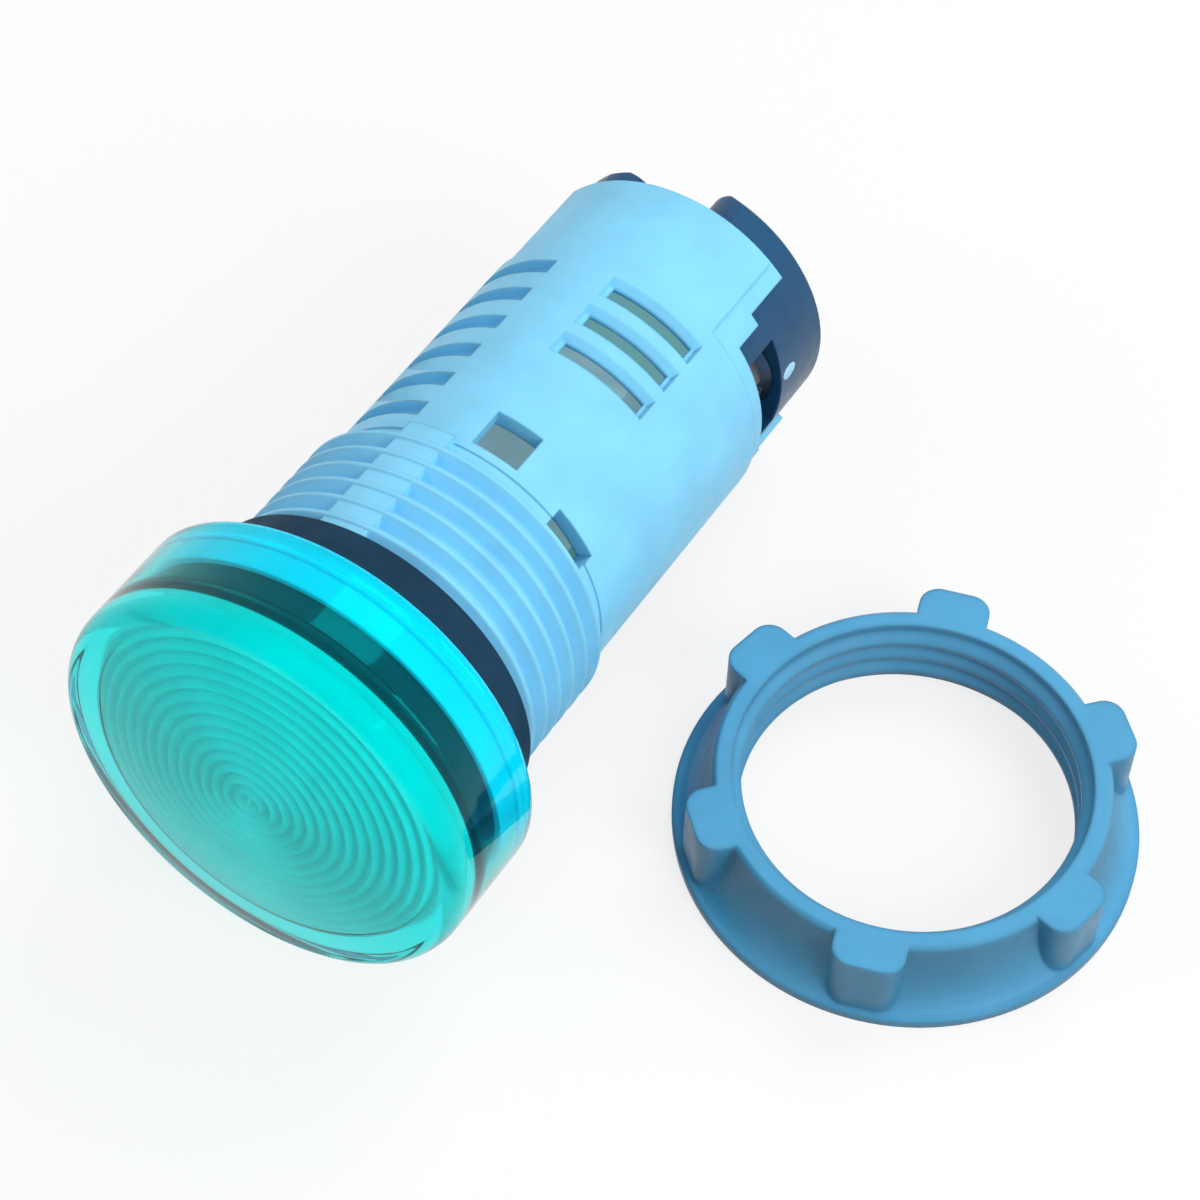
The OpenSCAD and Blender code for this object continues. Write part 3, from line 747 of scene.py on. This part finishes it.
class PILOT_OT_terminals(bpy.types.Operator):
    """Finishes of the terminal block, its screws, clamp plates and contacts, and the pale dot"""

    bl_idname = "pilot.terminals"
    bl_label = "Terminals"

    def dot(self, s, matrix):
        """Oval drop of paint bent over the block's round wall: its height is a parabola of the share of its
        radius, and its flat foot lies just under the wall's surface."""
        rings, segments, thickness, sunk = 10, 48, 0.08 * MM, 0.03 * MM
        out = np.linspace(0.02, 1, rings)
        share = np.concatenate([out, out[::-1]])
        rise = np.concatenate([thickness * (1 - out**2), np.full(rings, -sunk)])
        a = np.linspace(0, 2 * np.pi, segments, endpoint=False)
        around = np.outer(share, np.cos(a)) * s.width / s.block_diameter
        along = np.outer(share, np.sin(a)) * s.length / 2
        r = (s.block_diameter / 2 + rise)[:, None]
        points = np.stack([r * np.sin(s.turn + around), r * np.cos(s.turn + around), along - s.behind], -1)
        points = placed(points.reshape(-1, 3), matrix)
        add_mesh("pale_dot", points, grid_faces(2 * rings, segments), "light")

    def paint_front_glow(self, mat, s, colour):
        """Painted light: the block's front face, deep in the housing, glows faintly, in place of the light
        that comes through the pale housing walls. It is all that lies ahead of a plane across the light's
        axis, which is where the dot product with the axis is more than the plane's own."""
        tree, shader, coords = opened(mat)
        matrix = light_matrix(s)
        axis = matrix.to_3x3() @ FORWARD
        plane = (matrix @ (-s.inner_end * FORWARD)).dot(axis)
        along = vector_step(tree, "DOT_PRODUCT", coords, axis, "Value")
        ahead = number_step(tree, "GREATER_THAN", along, plane)
        tree.links.new(ahead, shader.inputs["Emission Strength"])
        shader.inputs["Emission Color"].default_value = (*colour, 1)

    def execute(self, context):
        c, s = context.scene.pilot_colours, context.scene.pilot_lens
        self.dot(context.scene.pilot_dot, light_matrix(s))
        finish_nodes(moulded_plastic("dot paint", c.mark, 0.5, edge=0), "pale_dot")
        block = moulded_plastic("terminal block plastic", c.block, 0.34, patch=0.1, gloss=0.3)
        # Painted light: the block's front inside the housing glows
        self.paint_front_glow(block, s, c.inside)
        finish_nodes(block, "terminal_block")
        finish_nodes(metal("brass", (0.72, 0.50, 0.20), 0.3), "contact_left", "contact_right")
        plate = metal("dark zinc plate", (0.20, 0.22, 0.25), 0.4)
        finish_nodes(plate, "clamp_left", "clamp_right", "screw_left", "screw_right")
        return {"FINISHED"}


class PILOT_OT_nut(bpy.types.Operator):
    """Finish of the locking nut, with painted shade on its walls"""

    bl_idname = "pilot.nut"
    bl_label = "Locking nut"

    def execute(self, context):
        c = context.scene.pilot_colours
        nut = moulded_plastic("nut plastic", c.nut, 0.40, edge=0.3 * MM)
        # Painted shade: the nut's upright walls are darkened against its flat tops
        paint_wall_shade(nut, WALL_SHADE)
        finish_nodes(nut, "lock_nut")
        return {"FINISHED"}


class PILOT_OT_stage(bpy.types.Operator):
    """Pale floor, white surroundings, soft lamps and the camera"""

    bl_idname = "pilot.stage"
    bl_label = "Stage"

    def floor(self):
        """Flat pale floor: a square of four corners. Where it is seen, it glows towards white, but keeps
        the shadows."""
        corners = np.array([[-1, -1, 0], [1, -1, 0], [1, 1, 0], [-1, 1, 0]]) * 3.0
        mesh = bpy.data.meshes.new("floor")
        mesh.from_pydata(corners.tolist(), [], [(0, 1, 2, 3)])
        obj = bpy.data.objects.new("floor", mesh)
        bpy.context.scene.collection.objects.link(obj)
        mat, tree, shader, _ = new_finish("pale floor", FLOOR_SEEN, 0.9)
        shader.inputs["Specular IOR Level"].default_value = 0.0
        seen = background_rays(tree)
        tint = blend_colours(tree, seen, FLOOR_AS_LIGHT, FLOOR_SEEN)
        tree.links.new(tint, shader.inputs["Base Color"])
        glow = tree.nodes.new("ShaderNodeEmission")
        blend_shaders(tree, number_step(tree, "MULTIPLY", seen, FLOOR_WHITE), shader, glow)
        mesh.materials.append(mat)

    def surroundings(self):
        """White surroundings: full white where seen, a softer white as light."""
        world = bpy.context.scene.world or bpy.data.worlds.new("surroundings")
        bpy.context.scene.world = world
        world.use_nodes = True
        tree = world.node_tree
        tree.nodes.clear()
        light, seen = (tree.nodes.new("ShaderNodeBackground") for _ in range(2))
        for node, strength in ((light, SKY_AS_LIGHT), (seen, SKY_SEEN)):
            node.inputs["Color"].default_value = (1, 1, 1, 1)
            node.inputs["Strength"].default_value = strength
        blend_shaders(tree, background_rays(tree), light, seen)

    def lamp(self, name, place, power, width, height, mirrored):
        """Soft lamp that faces the middle of the object. It shows in glossy reflections or doesn't."""
        data = bpy.data.lights.new(name, "AREA")
        data.shape = "RECTANGLE"
        data.size, data.size_y = width, height
        data.energy = power
        obj = bpy.data.objects.new(name, data)
        bpy.context.scene.collection.objects.link(obj)
        obj.location = place
        obj.rotation_mode = "QUATERNION"
        obj.rotation_quaternion = (-Vector(place)).to_track_quat("-Z", "Y")
        obj.visible_glossy = mirrored

    def camera(self, sizes):
        """Camera turned to look from its place at its aim, then rolled about its line of sight."""
        data = bpy.data.cameras.new("camera")
        data.sensor_width = 36.0
        data.lens = sizes.lens
        data.clip_start, data.clip_end = 0.01, 10.0
        obj = bpy.data.objects.new("camera", data)
        bpy.context.scene.collection.objects.link(obj)
        place, aim = Vector(sizes.place), Vector(sizes.aim)
        turn = (aim - place).to_track_quat("-Z", "Y").to_matrix() @ Matrix.Rotation(sizes.roll, 3, "Z")
        obj.matrix_world = Matrix.Translation(place) @ turn.to_4x4()
        bpy.context.scene.camera = obj

    def execute(self, context):
        self.floor()
        self.surroundings()
        for name, place, power, width, height, mirrored in (
            ("key lamp", (0.50, -0.10, 0.36), 2.6, 0.35, 0.35, False),
            ("front lamp", (-0.42, -0.30, 0.32), 0.8, 0.35, 0.35, False),
            ("back lamp", (0.05, 0.40, 0.50), 1.8, 0.35, 0.35, False),
            ("strip lamp", (0.40, -0.05, 0.45), 0.15, 0.6, 0.03, True),
        ):
            self.lamp(name, place, power, width, height, mirrored)
        self.camera(context.scene.pilot_camera)
        context.scene.view_settings.view_transform = "Standard"
        return {"FINISHED"}


class PILOT_PT_panel(bpy.types.Panel):
    """Sizes, colours and steps of the pilot light"""

    bl_label = "Pilot light"
    bl_idname = "PILOT_PT_panel"
    bl_space_type = "VIEW_3D"
    bl_region_type = "UI"
    bl_category = "Pilot light"

    def draw(self, context):
        for name, group in GROUPS.items():
            for size in group.__annotations__:
                self.layout.prop(getattr(context.scene, name), size)
        for operator in OPERATORS:
            self.layout.operator(operator.bl_idname)


GROUPS = {
    "pilot_lens": LensSizes,
    "pilot_colours": PilotColours,
    "pilot_dot": DotSizes,
    "pilot_camera": CameraSizes,
}
OPERATORS = (
    PILOT_OT_stage,
    PILOT_OT_lens,
    PILOT_OT_lamp,
    PILOT_OT_housing,
    PILOT_OT_gasket,
    PILOT_OT_electronics,
    PILOT_OT_terminals,
    PILOT_OT_nut,
)


def register():
    """Registers the classes and gives the scene its groups of sizes and colours."""
    for cls in (*GROUPS.values(), *OPERATORS, PILOT_PT_panel):
        bpy.utils.register_class(cls)
    for name, group in GROUPS.items():
        setattr(bpy.types.Scene, name, PointerProperty(type=group))


def unregister():
    """Takes back what register did, in the opposite order."""
    for name in GROUPS:
        delattr(bpy.types.Scene, name)
    for cls in reversed((*GROUPS.values(), *OPERATORS, PILOT_PT_panel)):
        bpy.utils.unregister_class(cls)


def main():
    """Registers the add-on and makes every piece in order."""
    register()
    for operator in OPERATORS:
        group, name = operator.bl_idname.split(".")
        getattr(getattr(bpy.ops, group), name)()


if __name__ == "__main__":
    main()
